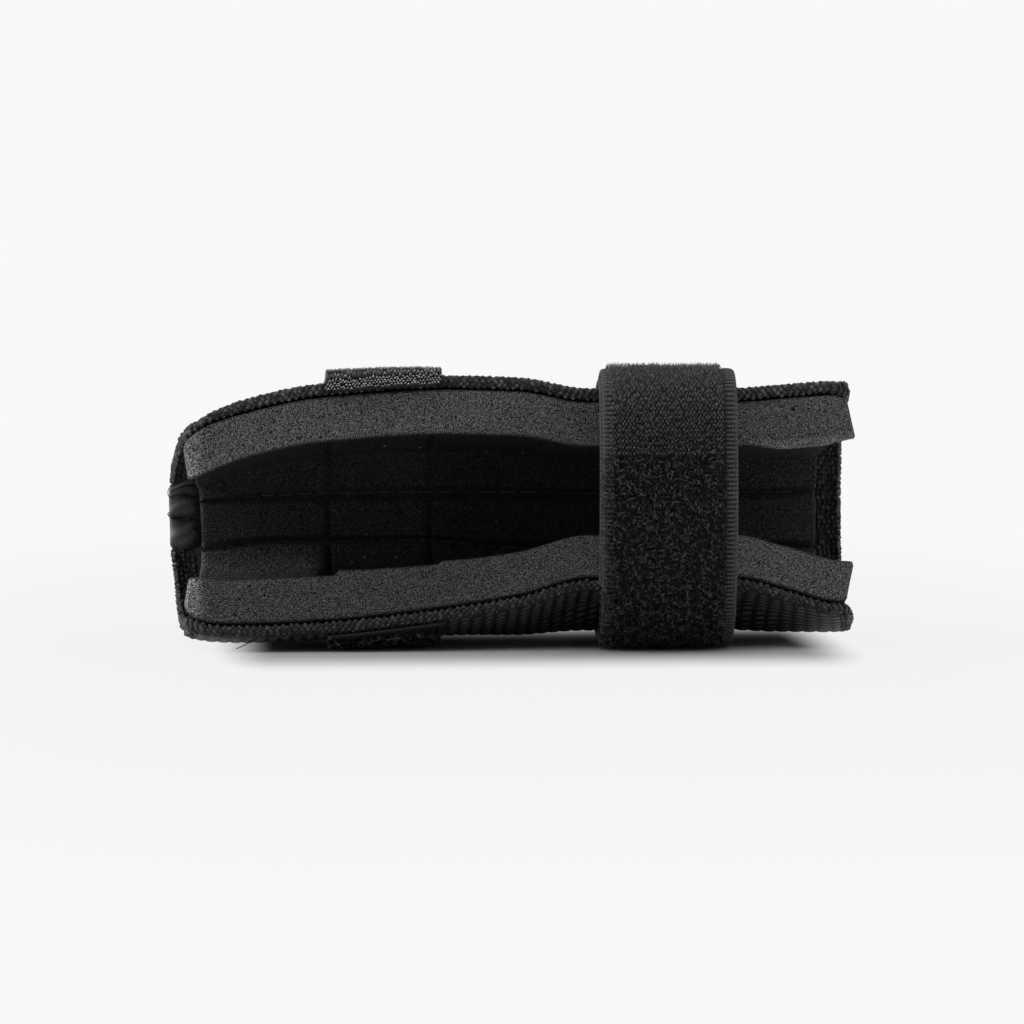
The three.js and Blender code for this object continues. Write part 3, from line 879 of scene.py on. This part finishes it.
def build_foam():
    """The lining: cut lips and ends, sewn grooves, a swelling beside each cross seam."""
    even = np.linspace(FOAM_MARGIN, GIRTH[-1] - FOAM_MARGIN, FOAM_STATIONS)
    fine = [girth_at(at) + step for at in SEAM_SPANS for step in np.linspace(*GROOVE_STEPS)]
    half_ring = section_stations(span_at(np.unique(np.concatenate([even, fine]))), FOAM_LIP_ROUND, 7, 4)
    span, share, corner, back, side = ring_of(half_ring, half_ring)
    cross = [at + step for at in CROSS_SEAMS_X for step in np.linspace(*CROSS_STEPS)]
    lines = np.unique(np.concatenate([np.linspace(-LIP_HALF, LIP_HALF, FOAM_LINES), cross]))
    x, inset = rounded_lines(lines, FOAM_ROUND["left"], FOAM_ROUND["right"], 5)
    outer, inner = foam_depths(x, span)
    middle, half = (outer + inner) / 2, (inner - outer) / 2
    reach = ((half - FOAM_LIP_ROUND) * share + FOAM_LIP_ROUND * corner) * (1 - inset / half)
    within = (1 + side * share) / 2
    right = FLARE["right"] * smooth((x - LIP_HALF + FLARE_LENGTH) / FLARE_LENGTH) * within**2
    left = FLARE["left"] * smooth((-x - LIP_HALF + FLARE_LENGTH) / FLARE_LENGTH) * (1 - within)
    flare = (right - left) * np.maximum(0, 1 - lip_distance(span))
    place = drawn_out(x, span, FOAM_ENDS) + flare
    back = back + BEVEL_BACK * bevel(x, span, side, share) * (1 - corner)
    rings = wall_point(place, span, middle + side * reach, -back - inset)
    tone = foam_tone(x, span, side, share, corner, inset)
    piece = make_piece("foam_pad", *skin(rings), FOAM_LOOK, "foam", node="foam_lining", tone=tone,
                       outward=True)


def bead_run(stop, pitch):
    """Places from 0 to stop, a pitch apart, with a little disorder, as a column."""
    places = np.arange(pitch, stop - pitch, pitch)
    return (places + RANDOM.normal(0, BEAD_DISORDER * pitch, len(places)))[:, None]


def out_of_pocket(span, side):
    """Which runs of spans on the left end, or right, keep clear of the pocket."""
    clear = (span < POCKET_FOLDS[0][0]) | (span > POCKET_FOLDS[-1][1]) | (side > 0)
    return clear.all(axis=1)


def end_knobs(tau):
    """Rows of knobs on both faces of the webbing at its ends, but not in the pocket."""
    runs = []
    for side in (-1, 1):
        for inward, face in KNOB_ROWS:
            span = span_at(bead_run(GIRTH[-1], KNOB_PITCH) + KNOB_HALF * tau)
            inner_lip = (lip_distance(span) < KNOB_CLEAR).any(axis=1) & (face > 0)
            span = span[out_of_pocket(span, side) & ~inner_lip]
            stray = RANDOM.normal(0, KNOB_DISORDER, (len(span), 1))
            edge = side * (LIP_HALF - inward) + stray + KNOB_LEAN * tau
            x = drawn_out(edge, span, WALL_ENDS)
            runs.append(wall_point(x, span, curl(edge, span) + face * (WEBBING - thinned(edge, span))))
    return np.concatenate(runs)


def build_rim():
    """Rows of beads of yarn, where the weave turns round the edges of the webbing."""
    tau = np.linspace(-1, 1, 4)[None, :]
    girth = GIRTH[-1]
    paths, thickness, shade = [], [], []
    for row, (turn, half_turn, lean, thick, pitch) in enumerate(RIM_ROWS):
        angle = np.radians(turn + half_turn * tau)
        out, into = WALL_ROUND * (np.cos(angle) - 1), WEBBING / 2 + WALL_ROUND * np.sin(angle)
        stagger = row % 2 * pitch / 2
        runs = []

        def lay(x, span, at, away, tone):
            depth = curl(at, span) + into * (1 - thinned(at, span) / WEBBING)
            runs.append(wall_point(x, span, depth, away))
            shade.append(np.full(len(at), tone))

        for lip, way in ((0, 1), (1, -1)):
            x = bead_run(2 * LIP_HALF - 2 * RIM_MARGIN, pitch) - LIP_HALF + RIM_MARGIN + stagger
            at = x + way * lean * tau
            span = span_at(np.abs(lip * girth - corner_back(at)))
            lay(at, span, at, out, RIM_SHADES[lip])
        for lip, side in ((0, -1), (0, 1), (1, -1), (1, 1)):
            turned = np.radians(CORNER_BEADS)[:, None] + lean * tau / CORNER_ROUND
            at = side * (LIP_HALF - CORNER_ROUND * (1 - np.sin(turned)))
            span = span_at(np.abs(lip * girth - CORNER_ROUND * (1 - np.cos(turned))))
            x = drawn_out(at, span, WALL_ENDS) + side * out * np.sin(turned)
            lay(x, span, at, out * np.cos(turned), RIM_SHADES[lip])
        for side in (-1, 1):
            span = span_at(bead_run(girth, pitch) + stagger + lean * tau)
            drawn = span_at(mix(CORNER_ROUND, girth - CORNER_ROUND, girth_at(span) / girth))
            drawn = drawn[out_of_pocket(drawn, side)]
            edge = np.full(drawn.shape, side * LIP_HALF)
            x = drawn_out(edge, drawn, WALL_ENDS) + side * out
            lay(x, drawn, edge, 0.0, 1.0)
        paths.append(np.concatenate(runs))
        thickness.append(thick * RANDOM.uniform(*BEAD_SIZES, (len(paths[-1]), 1)))
    paths.append(end_knobs(tau))
    shade.append(np.full(len(paths[-1]), KNOB_SHADE))
    thickness.append(KNOB * RANDOM.uniform(*KNOB_SIZES, (len(paths[-1]), 1)))
    paths = np.concatenate(paths)
    thickness = np.concatenate(thickness) * np.sqrt(BEAD_TAPER - tau**2)
    tone = np.concatenate(shade) * RANDOM.uniform(0, 1, len(paths)) ** 1.5
    return tube_piece("webbing_rim", paths, thickness, tone[:, None], RIM_LOOK, "webbing")


def build_pocket():
    """Smooth folds of the pocket's cloth, gathered at the left end of the back, with painted light and shade
    on them.
    """
    x = np.linspace(*POCKET_X, POCKET_GRID[0])[:, None]
    across = (x - POCKET_X[0]) / (POCKET_X[1] - POCKET_X[0])
    t = np.linspace(0, 1, POCKET_GRID[1])[None, :]
    arch = np.sin(math.pi * t)
    swell = arch**0.6 * smooth(0.3 + across / 0.3) * (1 - across**2)
    ripple = RIPPLE * np.sin(RIPPLE_WAVES[0] * across + RIPPLE_WAVES[1] * t) * arch
    # painted light and shade: each fold lit along its crest, shaded at its creases and to the right, with a
    # lit streak along the ripple
    shade = (0.2 + 0.8 * arch + 2 * ripple) * (1 - across) ** POCKET_FADE - 0.2 * across
    bodies, tones = [], []
    for low, high, height, tone in POCKET_FOLDS:
        span = mix(low, high, t) + FOLD_SWAY * np.sin(6 * across + 4 * low)
        place = drawn_out(x, span, WALL_ENDS)
        base = curl(x, span) + WEBBING
        top = wall_point(place, span, base + height * swell * (1 + ripple))
        under = wall_point(place, span, base - POCKET_SINK)
        bodies.append(skin(np.concatenate([top, under[:, ::-1]], axis=1)))
        tones.append(tone * np.concatenate([shade, shade[:, ::-1]], axis=1).reshape(-1))
    return make_piece("pocket_folds", *join(bodies), POCKET_LOOK, "webbing", tone=np.concatenate(tones),
                      outward=True)


# Threads


def build_stitches():
    """Two lines of stitches through the back, outside and down in the grooves of the lining."""
    tau = np.linspace(-1, 1, 6)[None, :]
    x = np.arange(-STITCHED_HALF, STITCHED_HALF + 0.1, STITCH_PITCH)
    off_tabs = np.abs(x - TAB_X) > TAB_WIDTH / 2 + TAB_CLEAR
    off_strap = np.abs(x - STRAP_X) > STRAP_WIDTH / 2 + STRAP_CLEAR
    rise = STITCH_RISE * (1 - tau**4)
    runs = []
    for at_span in SEAM_SPANS:
        outside = x[off_tabs & off_strap][:, None] + STITCH_HALF * tau
        span = seam_line(at_span, outside)
        runs.append(wall_point(drawn_out(outside, span, WALL_ENDS), span, STITCH_SINK - rise))
        inside = x[:, None] + STITCH_PITCH / 2 + STITCH_HALF * tau
        span = seam_line(at_span, inside)
        depth = foam_depths(inside, span)[1] - STITCH_SINK + rise
        runs.append(wall_point(drawn_out(inside, span, FOAM_ENDS), span, depth))
    return thread_piece("back_stitches", np.concatenate(runs), STITCH_RADIUS, THREAD_LOOK)


def build_strays():
    """Loose threads at the left end and under the front edge."""
    tau = np.linspace(0, 1, 9)
    hump = np.sin(math.pi * tau)
    runs = []
    for low, high, reach in FRAYS:
        span = mix(low, high, tau)
        end = drawn_out(np.full(tau.size, -LIP_HALF), span, WALL_ENDS)
        runs.append(wall_point(end - reach * hump + STRAY_ROOT, span, WEBBING / 2 + ROLL))
    for at, span, aside, forward, drop in STRAYS:
        root = wall_point(at, span, STRAY_ROOT)
        path = root + np.stack([aside * tau**0.8, -forward * hump**0.7, -drop * tau], axis=-1)
        path[:, 2] = np.maximum(path[:, 2], STRAY_RADIUS + 0.01)
        runs.append(path)
    return thread_piece("loose_threads", np.stack(runs), STRAY_RADIUS, THREAD_LOOK)


def build_lint():
    """Pale specks of fluff on the lining."""
    tau = np.linspace(-0.5, 0.5, 4)[None, :]
    shape = (LINT_COUNT, 1)
    x = RANDOM.uniform(-LINT_X, LINT_X, shape)
    girth = girth_at(RANDOM.uniform(*LINT_SPANS, shape))
    length = RANDOM.uniform(*LINT_LENGTHS, shape)
    heading = RANDOM.uniform(0, 2 * math.pi, shape) + RANDOM.normal(0, LINT_BEND, shape) * tau
    at = x + length * np.cos(heading) * tau
    span = span_at(girth + length * np.sin(heading) * tau)
    paths = wall_point(drawn_out(at, span, FOAM_ENDS), span, foam_depths(at, span)[1] + LINT_RISE)
    return thread_piece("lint", paths, LINT_RADIUS, LINT_LOOK)


def thread_piece(name, paths, radius, material):
    tone = RANDOM.uniform(0.2, 1, (len(paths), 1))
    return tube_piece(name, paths, radius, tone, material, "webbing")


# Tapes


def arches(place, along, across, width, height, lean):
    """Paths and tones of bent filaments: each rises, leans along the tape and comes down, painted dark at
    its feet as shade and lit at its top.
    """
    tau = np.linspace(0, 1, FIBRE_POINTS)[None, :]
    rise = 1 - np.abs(2 * tau - 1) ** ARCH_POWER
    a = along[:, None] + lean[:, None] * rise
    c = across[:, None] + width * (tau - 0.5)
    # painted shade low on each filament, painted light at its top, times its own random tone
    tone = mix(HOOK_FOOT_PAINTED_SHADE, 1, rise**HOOK_TONE_POWER) * RANDOM.uniform(0.5, 1, (len(along), 1))
    return place(a, c, height[:, None] * rise), tone


def lattice(ends, sides, row, column, disorder):
    """Staggered rows of places on a tape, with some disorder at its start and at its end."""
    rows = np.arange(*ends, row)
    columns = np.arange(*sides, column)
    along, across = np.meshgrid(rows, columns, indexing="ij")
    across = across + (np.arange(len(rows)) % 2)[:, None] * column / 2
    spread = np.linspace(*disorder, len(rows))[:, None]
    along = along + spread * RANDOM.normal(0, 1, along.shape)
    across = across + spread * RANDOM.normal(0, 1, across.shape)
    return along.reshape(-1), across.reshape(-1)


def loops(place, ends, sides, count, height, reach):
    """Paths and tones of brushed loops: short arcs that lie over each other in all directions, darker low in
    the pile, partly painted shade and partly darker yarn.
    """
    tau = np.linspace(0, 1, FIBRE_POINTS)[None, :]
    shape = (count, 1)
    along = RANDOM.uniform(*ends, shape)
    across = RANDOM.uniform(*sides, shape)
    heading = RANDOM.uniform(0, 2 * math.pi, shape)
    bend = RANDOM.normal(0, LOOP_BEND, shape)
    step = RANDOM.uniform(*reach, shape) / (tau.size - 1)
    angle = heading + bend * (tau - 0.5)
    a = along + np.cumsum(np.cos(angle) * step, axis=1)
    c = across + np.cumsum(np.sin(angle) * step, axis=1)
    c = np.clip(c, sides[0] - LOOP_OVERHANG, sides[1] + LOOP_OVERHANG)
    low = RANDOM.uniform(*LOOP_LOW, shape)
    peak = RANDOM.uniform(*LOOP_PEAK, shape)
    h = low + (peak - low) * np.sin(math.pi * tau) ** 0.7
    return place(a, c, height * h), h**LOOP_TONE_POWER


def fibre_piece(name, paths, tone, radius, material, slot_name):
    return tube_piece(name, paths, radius, tone, material, slot_name, FIBRE_SIDES, FIBRE_UP)


def tab_place(spans, wrap):
    """Maps millimetres along a tab, across it and above its underside to points.

    A tab that wraps the rim lies flatter than the wall there, so its left edge stands higher.
    """
    start = girth_at(spans[0])
    bend = math.pi / 2 * (GAP + TAB_BASE / 2)

    def place(along, across, height):
        along, across, height = np.broadcast_arrays(along, across, height)
        x = TAB_X + across
        if wrap:
            high = HOOK_TAB_LIFT * (0.5 - across / TAB_WIDTH) * smooth(1 - along / HOOK_TAB_LIFT_LENGTH)
            height = height + high * np.minimum(1, height / TAB_BASE)
        flat = wall_point(x, span_at(start + np.maximum(along, 0)), -GAP - height)
        if wrap:
            angle = np.clip(-along / bend, 0, 1) * math.pi / 2
            drop = np.maximum(0, -along - bend)
            lift = GAP + height
            depth = -np.cos(angle) * lift + drop
            over = wall_point(x, np.zeros(x.shape), depth, np.sin(angle) * lift)
            flat = np.where((along < 0)[..., None], over, flat)
        flat[..., 2] = np.maximum(flat[..., 2], 0.0)
        return flat

    length = girth_at(spans[1]) - start
    return place, (-(bend + RIM_WRAP) if wrap else 0.0), length


def build_tape(name, node, place, ends, steps, shape, material, slot_name):
    """A tape: a flat ground between two selvedges with raised ribs.

    `shape` is its width, thickness, selvedge and the height of its ribs.
    """
    width, base, selvedge, rib = shape
    half = width / 2
    edges = half - np.array([*TAPE_EDGES, *(selvedge + inward for inward in GROUND_EDGES)])
    middle = np.linspace(GROUND_INSET - half, half - GROUND_INSET, 4)
    across = np.concatenate([-edges, middle, edges[::-1]])
    edge = smooth((np.abs(across) - half + selvedge + 0.2) / TAPE_RISE)
    plain = PLAIN_DROP * smooth((np.abs(across) - half + STRAP_EDGE) / TAPE_RISE)
    along = np.linspace(*ends, steps)
    row = 0.5 + 0.5 * np.cos(2 * math.pi * along / STRAP_RIB)
    top = base + rib * row[:, None] * (edge - plain)[None, :] - GROUND_DROP * (1 - edge)[None, :]
    top[:, [0, -1]] -= TAPE_CHAMFER[0]
    under = np.zeros(top.shape)
    under[:, [0, -1]] += TAPE_CHAMFER[1]
    a = np.broadcast_to(along[:, None], top.shape)
    c = np.broadcast_to(across[None, :], top.shape)
    a, c, h = (
        np.concatenate([first, second[:, ::-1]], axis=1)
        for first, second in ((a, a), (c, c), (under, top))
    )
    uv = np.stack([c, a], axis=-1).reshape(-1, 2)
    return make_piece(name, *skin(place(a, c, h)), material, slot_name, node=node, uv=uv, outward=True)


def build_hook_tab():
    place, start, stop = tab_place(HOOK_TAB_SPANS, wrap=True)
    ground = build_tape("hook_tab_tape", "hook_tab", place, (start, stop), TAB_STEPS, TAB_TAPE,
                        HOOK_TAPE_LOOK, "hook_tape")
    half = TAB_WIDTH / 2 - TAB_MARGIN
    ends = (start + TAB_MARGIN, stop - TAB_FOOT)
    along, across = lattice(ends, (-half, half), TAB_ROW, TAB_COLUMN, TAB_DISORDER)
    width, lean, spread, radius = TAB_HOOK
    height = RANDOM.uniform(*TAB_HOOK_HEIGHTS, len(along)) * HOOK_TAB_PILE

    def above(a, c, h):
        return place(a, c, TAB_BASE - TAB_ROOT + h)

    paths, tone = arches(above, along, across, width, height, RANDOM.normal(lean, spread, len(along)))
    pile = fibre_piece("hook_tab_hooks", paths, tone, radius, HOOK_TAB_LOOK, "hook_tape")


def build_loop_tab():
    place, start, stop = tab_place(LOOP_TAB_SPANS, wrap=False)
    ground = build_tape("loop_tab_tape", "loop_tab", place, (start, stop), TAB_STEPS, TAB_TAPE,
                        LOOP_TAPE_LOOK, "loop_tape")

    def above(a, c, h):
        return place(np.clip(a, start, stop), c, TAB_BASE - LOOP_TAB_ROOT + h)

    half = TAB_WIDTH / 2 - LOOP_TAB_MARGIN
    ends = (start + LOOP_TAB_FEET[0], stop - LOOP_TAB_FEET[1])
    paths, tone = loops(above, ends, (-half, half), LOOP_TAB_LOOPS, LOOP_TAB_PILE, LOOP_TAB_REACH)
    pile = fibre_piece("loop_tab_pile", paths, tone, LOOP_TAB_RADIUS, LOOP_TAB_LOOK, "loop_tape")


def closed_curve(controls, samples):
    """A centripetal curve through a closed loop of controls, sampled evenly along its length."""
    controls = np.asarray(controls, float)
    rows = []
    for i in range(len(controls)):
        p0, p1, p2, p3 = (controls[(i + k) % len(controls)] for k in (-1, 0, 1, 2))
        d0, d1, d2 = (np.linalg.norm(b - a) ** 0.5 for a, b in ((p0, p1), (p1, p2), (p2, p3)))
        v1 = ((p1 - p0) / d0 - (p2 - p0) / (d0 + d1) + (p2 - p1) / d1) * d1
        v2 = ((p2 - p1) / d1 - (p3 - p1) / (d1 + d2) + (p3 - p2) / d2) * d1
        t = np.linspace(0, 1, 80, endpoint=False)[:, None]
        rows.append(cubic_through(p1, p2, v1, v2, t)[0])
    dense = np.concatenate([*rows, controls[:1]])
    length = np.concatenate([[0], np.cumsum(np.linalg.norm(np.diff(dense, axis=0), axis=1))])
    even = np.linspace(0, length[-1], samples)
    return np.stack([np.interp(even, length, dense[:, k]) for k in (0, 1)], axis=-1), length[-1]


def strap_place():
    """Maps millimetres along the strap, across it and above its underside to points."""
    hugged = wall_point(STRAP_X, np.array(STRAP_HUGGED_SPANS, float), -GAP - STRAP_SLACK)[:, 1:]
    loop, length = closed_curve([*STRAP_FRONT, *hugged, *STRAP_FLOOR], 2000)
    tangent = np.gradient(loop, axis=0)
    tangent[[0, -1]] = loop[1] - loop[-2]
    tangent /= np.linalg.norm(tangent, axis=1, keepdims=True)
    share = np.linspace(0, 1, len(loop))

    def place(along, across, height):
        along, across, height = np.broadcast_arrays(along, across, height)
        turn = along / length
        y, z, ty, tz = (
            np.interp(turn % 1, share, column)
            for column in (loop[:, 0], loop[:, 1], tangent[:, 0], tangent[:, 1])
        )
        lap = STRAP_LAP * smooth((turn - STRAP_LIFT[0]) / (STRAP_LIFT[1] - STRAP_LIFT[0]))
        x = STRAP_X + STRAP_DRIFT * (turn - STRAP_TURNS[1] / 2) + across
        x = x + STRAP_SKEW * (y - tz * lap)
        raised = lap + height
        return np.stack([x, y - tz * raised, np.maximum(z + ty * raised, 0.0)], axis=-1)

    return place, length


def build_strap():
    place, turn = strap_place()
    start, stop = STRAP_TURNS[0] * turn, STRAP_TURNS[1] * turn
    steps = int((stop - start) / STRAP_RIB * 4)
    ground = build_tape("strap_tape", "closing_strap", place, (start, stop), steps, STRAP_TAPE,
                        STRAP_TAPE_LOOK, "strap_tape")
    front = np.linspace(turn, stop, 400)
    height = place(front, 0.0, 0.0)[:, 2]
    rising = np.argmax(height)
    hooked = float(np.interp(HOOKED_FROM_Z, height[:rising], front[:rising]))
    half = STRAP_WIDTH / 2 - STRAP_SELVEDGE

    def above(a, c, h):
        return place(a, c, STRAP_BASE - STRAP_ROOT + h)

    sides = (-half - HOOKED_SIDES[0], half + HOOKED_SIDES[1])
    along, across = lattice((hooked, stop - STRAP_FOOT), sides, STRAP_ROW, STRAP_COLUMN, STRAP_DISORDER)
    width, lean, spread, radius = STRAP_HOOK
    tall = RANDOM.uniform(*STRAP_HOOK_HEIGHTS, len(along)) * STRAP_PILE
    paths, tone = arches(above, along, across, width, tall, RANDOM.normal(lean, spread, len(along)))
    second_row = np.round((along - hooked) / STRAP_ROW) % 2
    near_join = smooth(1 - (along - hooked) / SECOND_ROW_LENGTH)
    tone *= 1 - SECOND_ROW_SHADE * (second_row * near_join)[:, None]
    pieces = [fibre_piece("strap_hooks", paths, tone, radius, STRAP_HOOK_LOOK, "strap_tape")]
    back, below = turn * BACK_SHARE, turn - PILE_BELOW
    zones = (  # name, from and to, reach over the left and right selvedge, loops
        ("strap_pile_front", (below, hooked + 0.3), (1.5, -0.3), 6200),
        ("strap_pile_back", (stop - turn + 0.5, back), (0.2, 0.1), 2100),
        ("strap_pile_under", (back, below), (0.2, 0.1), 1200),
    )
    for name, ends, over, count in zones:
        sides = (-half - over[0], half + over[1])
        paths, tone = loops(above, ends, sides, count, STRAP_PILE, STRAP_LOOP_REACH)
        pieces.append(fibre_piece(name, paths, tone, STRAP_LOOP_RADIUS, PILE_LOOK, "strap_tape"))


# Stage


def build_stage():
    """A pale floor that sweeps up far behind and glows, more so away from the object: the glow is painted
    light, and where it is held back near the object it is a painted shadow.
    """
    profile = [(y, 0.0) for y in FLOOR_ROWS]
    profile += [
        (SWEEP_START + SWEEP_RADIUS * math.sin(a), SWEEP_RADIUS - SWEEP_RADIUS * math.cos(a))
        for a in np.linspace(0.1, math.pi / 2, 16)
    ]
    profile += [(SWEEP_START + SWEEP_RADIUS, BACKDROP_TOP)]
    points = [(x, y, z) for y, z in profile for x in (-FLOOR_SIZE, FLOOR_SIZE)]
    mesh = bpy.data.meshes.new("floor")
    mesh.from_pydata(points, [], grid_faces(len(profile), 2).tolist())
    mesh.polygons.foreach_set("use_smooth", np.ones(len(mesh.polygons), bool))
    material, tree, shader = start_material("pale_floor", 0.9, specular=0.0)
    place = add(tree, "TexCoord").outputs["Object"]
    white = ramp(tree, noise(tree, place, 1.5, 1.0),
                 (0.3, FLOOR_WHITE - FLOOR_MOTTLE), (0.7, FLOOR_WHITE + FLOOR_MOTTLE))
    tree.links.new(white, shader.inputs["Base Color"])
    # the glow, painted light, is held back near the object to paint its contact shadow
    aside = vector(tree, "ABSOLUTE", vector(tree, "SUBTRACT", place, FOOTPRINT_CENTRE))
    past = vector(tree, "SUBTRACT", aside, FOOTPRINT)
    outside = vector(tree, "MAXIMUM", past, (0.0, 0.0, 0.0))
    stretched = vector(tree, "MULTIPLY", outside, FOOTPRINT_STRETCH)
    away = add(tree, "VectorMath", {0: stretched}, operation="LENGTH").outputs["Value"]
    steps = [
        ranged(tree, away, near, far, high=share, kind="SMOOTHSTEP")
        for near, far, share in GLOW_STEPS
    ]
    glow = add(tree, "Emission", {"Color": (1.0, 1.0, 1.0, 1.0), "Strength": FLOOR_GLOW})
    blend = add(tree, "MixShader", {0: maths(tree, "ADD", *steps), 1: shader.outputs[0], 2: glow.outputs[0]})
    tree.links.new(blend.outputs[0], tree.nodes["Material Output"].inputs["Surface"])
    mesh.materials.append(material)
    floor = bpy.data.objects.new("floor", mesh)
    bpy.context.scene.collection.objects.link(floor)


def aim(thing, place, target):
    """Puts a light or camera in its place, pointed at the target."""
    thing.location = place
    thing.rotation_euler = (target - place).to_track_quat("-Z", "Y").to_euler()
    bpy.context.scene.collection.objects.link(thing)


def build_light():
    scene = bpy.context.scene
    world = bpy.data.worlds.new("studio")
    world.use_nodes = True
    background = world.node_tree.nodes["Background"]
    background.inputs["Color"].default_value = WORLD_COLOUR
    background.inputs["Strength"].default_value = WORLD_GLOW
    scene.world = world
    for name, place, size, power in LIGHTS:
        light = bpy.data.lights.new(name, "AREA")
        light.shape = "RECTANGLE"
        light.size, light.size_y = size
        light.energy = power
        aim(bpy.data.objects.new(name, light), Vector(place), Vector(LIGHT_TARGET))
    scene.view_settings.view_transform = "Standard"
    scene.view_settings.look = "None"


def build_camera():
    camera = bpy.data.cameras.new("camera")
    camera.lens = LENS_MM
    camera.sensor_width = SENSOR_MM
    camera.clip_start = NEAREST
    eye = bpy.data.objects.new("camera", camera)
    level = math.cos(EYE_ELEVATION)
    away = np.array([
        math.sin(EYE_AZIMUTH) * level, -math.cos(EYE_AZIMUTH) * level, math.sin(EYE_ELEVATION),
    ])
    target = Vector((EYE_TARGET - ORIGIN) * MM)
    aim(eye, target + Vector(away * EYE_DISTANCE * MM), target)
    bpy.context.scene.camera = eye


build_camera()
build_light()
build_stage()
cloth = build_webbing()
build_foam()
sewn_on = [build_rim(), build_pocket(), build_stitches(), build_strays(), build_lint()]
build_hook_tab()
build_loop_tab()
build_strap()

bpy.context.view_layer.update()
